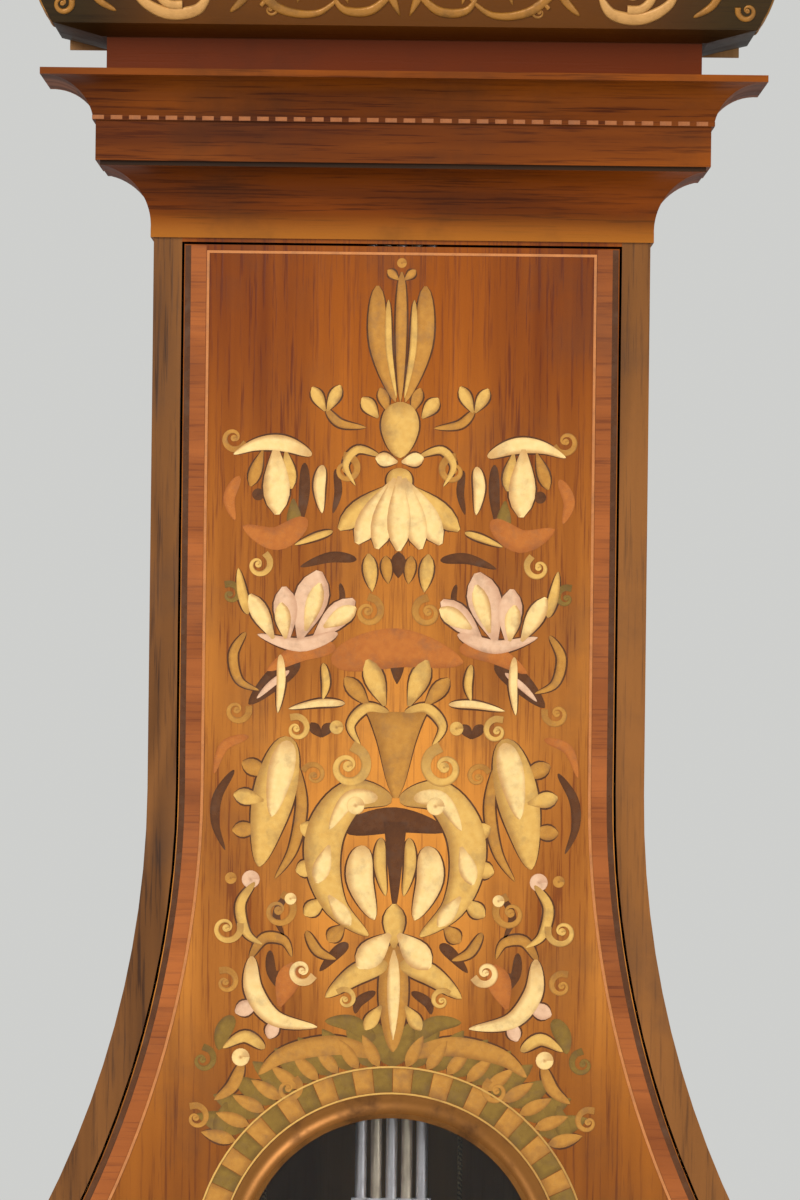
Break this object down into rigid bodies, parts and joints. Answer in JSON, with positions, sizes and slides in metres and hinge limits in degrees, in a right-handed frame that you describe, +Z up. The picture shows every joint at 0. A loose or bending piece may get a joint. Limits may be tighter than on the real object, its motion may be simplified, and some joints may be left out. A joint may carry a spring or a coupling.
{
  "type": "longcase clock",
  "caption": "Tall weight-driven pendulum clock in a violin-shaped inlaid case, with a lift-off arched hood, glazed dial door and a round window for the pendulum.",
  "frame": {"origin": "middle of the case's footprint, on the floor", "axes": "+X to the viewer's right, front faces -Y, +Z up"},
  "size_m": [0.4816, 0.2812, 2.378],
  "materials": {
    "walnut": "french-polished figured veneer",
    "stile_wood": "dark stained and polished",
    "ebonised": "ebonised and polished",
    "carcass": "planed softwood",
    "brass": "polished",
    "steel": "polished",
    "blued": "blued steel",
    "iron": "black iron",
    "enamel": "fired white enamel",
    "glass": "clear",
    "line": "twisted hemp line"
  },
  "bodies": {
    "case": {"plinth": "walnut", "skirting": "stile_wood", "base_moulding": "walnut", "plinth_shelf": "carcass", "backboard": "carcass", "trunk_sides": "stile_wood", "stiles": "stile_wood", "frame_rails": "walnut", "throat_moulding": "walnut", "cornice": "walnut", "seat_board": "carcass", "stile_hinge_leaves": "brass", "cage": "iron", "pivot_straps": "iron", "bell": "brass", "dial": "enamel", "dial_surround": "brass", "motion_bridge": "steel", "suspension_cock": "steel", "going_line": "line", "strike_line": "line"},
    "trunk_door": {"trunk_door": "walnut", "window_bezel": "brass", "window_glass": "glass", "door_hinge_leaves": "brass", "escutcheon": "brass", "door_lock": "steel"},
    "lock_bolt": {"lock_bolt": "steel"},
    "door_key": {"door_key": "steel"},
    "hood": {"hood_base": "ebonised", "hood_roof": "stile_wood", "hood_sides": "walnut", "hood_front": "walnut", "hood_crown": "stile_wood", "dial_mask": "stile_wood", "hood_hinges_fixed": "brass"},
    "hood_door": {"hood_door": "walnut", "hood_glass": "glass", "hood_hinges_moving": "brass"},
    "hood_catch": {"hood_catch": "brass"},
    "centre_arbor": {"centre_arbor": "brass"},
    "going_barrel": {"going_barrel": "brass"},
    "third_arbor": {"third_arbor": "brass"},
    "escape_wheel": {"escape_wheel": "brass"},
    "going_weight": {"going_weight": "iron"},
    "pin_wheel": {"pin_wheel": "brass"},
    "strike_barrel": {"strike_barrel": "brass"},
    "stop_wheel": {"stop_wheel": "brass"},
    "fly": {"fly": "brass"},
    "strike_weight": {"strike_weight": "iron"},
    "hammer": {"hammer": "steel"},
    "anchor": {"anchor": "steel"},
    "pendulum": {"pendulum_rod": "steel", "grid_steel": "steel", "grid_brass": "brass"},
    "bob": {"bob": "brass"},
    "rating_nut": {"rating_nut": "brass"},
    "minute_hand": {"minute_hand": "blued"},
    "minute_wheel": {"minute_wheel": "brass"},
    "hour_hand": {"hour_hand": "blued"}
  },
  "joints": [
    {"name": "trunk_door_hinge", "type": "hinge", "parent": "case", "child": "trunk_door", "pos_m": [0.22603, -0.0705, 1.03], "axis": [0, 0, 1], "range_deg": [0, 110]},
    {"name": "key_turn", "type": "hinge", "parent": "trunk_door", "child": "door_key", "pos_m": [-0.20503, -0.06, 1.01002], "axis": [0, 1, 0], "range_deg": [0, 90]},
    {"name": "bolt_throw", "type": "slide", "parent": "trunk_door", "child": "lock_bolt", "axis": [-1, 0, 0], "range_m": [0, 0.012]},
    {"name": "hood_slide", "type": "slide", "parent": "case", "child": "hood", "axis": [0, -1, 0], "range_m": [0, 0.3]},
    {"name": "hood_door_hinge", "type": "hinge", "parent": "hood", "child": "hood_door", "pos_m": [0.181, -0.1265, 2.1], "axis": [0, 0, 1], "range_deg": [0, 100]},
    {"name": "hood_catch_turn", "type": "hinge", "parent": "hood_door", "child": "hood_catch", "pos_m": [-0.164, -0.11, 2.085], "axis": [0, 1, 0], "range_deg": [0, 90]},
    {"name": "centre_turn", "type": "hinge", "parent": "case", "child": "centre_arbor", "pos_m": [0, 0.045, 2.085], "axis": [0, 1, 0], "range_deg": [-43200, 0]},
    {"name": "going_barrel_turn", "type": "hinge", "parent": "case", "child": "going_barrel", "pos_m": [0.056, 0.045, 2.04737], "axis": [0, 1, 0], "range_deg": [0, 3600]},
    {"name": "third_turn", "type": "hinge", "parent": "case", "child": "third_arbor", "pos_m": [0.022, 0.045, 2.11574], "axis": [0, 1, 0], "range_deg": [0, 345600]},
    {"name": "escape_turn", "type": "hinge", "parent": "case", "child": "escape_wheel", "pos_m": [0, 0.045, 2.14206], "axis": [0, 1, 0], "range_deg": [-2476800, 0]},
    {"name": "going_weight_drop", "type": "slide", "parent": "case", "child": "going_weight", "axis": [0, 0, 1], "range_m": [0, 1.05558], "deforming": ["going_line"]},
    {"name": "pin_wheel_turn", "type": "hinge", "parent": "case", "child": "pin_wheel", "pos_m": [-0.068, 0.045, 2.11376], "axis": [0, 1, 0], "range_deg": [-43200, 0]},
    {"name": "strike_barrel_turn", "type": "hinge", "parent": "case", "child": "strike_barrel", "pos_m": [-0.056, 0.045, 2.04737], "axis": [0, 1, 0], "range_deg": [0, 3600]},
    {"name": "stop_wheel_turn", "type": "hinge", "parent": "case", "child": "stop_wheel", "pos_m": [-0.048, 0.045, 2.14584], "axis": [0, 1, 0], "range_deg": [0, 345600]},
    {"name": "fly_turn", "type": "hinge", "parent": "case", "child": "fly", "pos_m": [-0.078, 0.045, 2.15661], "axis": [0, 1, 0], "range_deg": [-2592000, 0]},
    {"name": "strike_weight_drop", "type": "slide", "parent": "case", "child": "strike_weight", "axis": [0, 0, 1], "range_m": [0, 1.05558], "deforming": ["strike_line"]},
    {"name": "hammer_lift", "type": "hinge", "parent": "case", "child": "hammer", "pos_m": [-0.112, 0.045, 2.101], "axis": [0, 1, 0], "range_deg": [-12, 0]},
    {"name": "pendulum_swing", "type": "hinge", "parent": "case", "child": "pendulum", "pos_m": [0, -0.028, 2.176], "axis": [0, 1, 0], "range_deg": [-4, 4]},
    {"name": "anchor_rock", "type": "hinge", "parent": "case", "child": "anchor", "pos_m": [0, 0.045, 2.176], "axis": [0, 1, 0], "range_deg": [-4, 4]},
    {"name": "bob_rating", "type": "slide", "parent": "pendulum", "child": "bob", "axis": [0, 0, 1], "range_m": [-0.00499, 0.00499]},
    {"name": "rating_nut_turn", "type": "hinge", "parent": "bob", "child": "rating_nut", "pos_m": [0, -0.028, 1.009], "axis": [0, 0, 1], "range_deg": [-1800, 1800]},
    {"name": "minute_hand_turn", "type": "hinge", "parent": "case", "child": "minute_hand", "pos_m": [0, -0.07, 2.085], "axis": [0, 1, 0], "continuous": true},
    {"name": "minute_wheel_turn", "type": "hinge", "parent": "case", "child": "minute_wheel", "pos_m": [0, -0.052, 2.061], "axis": [0, 1, 0], "continuous": true},
    {"name": "hour_hand_turn", "type": "hinge", "parent": "case", "child": "hour_hand", "pos_m": [0, -0.07, 2.085], "axis": [0, 1, 0], "continuous": true}
  ],
  "couplings": [
    {"joint": "bolt_throw", "follows": "key_turn", "m_per_rad": 0.00763},
    {"joint": "going_barrel_turn", "follows": "going_weight_drop", "rad_per_m": 59.524},
    {"joint": "centre_turn", "follows": "going_weight_drop", "rad_per_m": -714.29},
    {"joint": "third_turn", "follows": "going_weight_drop", "rad_per_m": 5714.3},
    {"joint": "escape_turn", "follows": "going_weight_drop", "rad_per_m": -40952},
    {"joint": "strike_barrel_turn", "follows": "strike_weight_drop", "rad_per_m": 59.524},
    {"joint": "pin_wheel_turn", "follows": "strike_weight_drop", "rad_per_m": -714.29},
    {"joint": "stop_wheel_turn", "follows": "strike_weight_drop", "rad_per_m": 5714.3},
    {"joint": "fly_turn", "follows": "strike_weight_drop", "rad_per_m": -42857},
    {"joint": "anchor_rock", "follows": "pendulum_swing", "ratio": 1},
    {"joint": "rating_nut_turn", "follows": "bob_rating", "rad_per_m": 6283.2},
    {"joint": "minute_wheel_turn", "follows": "minute_hand_turn", "ratio": -0.33333},
    {"joint": "hour_hand_turn", "follows": "minute_hand_turn", "ratio": 0.083333}
  ]
}
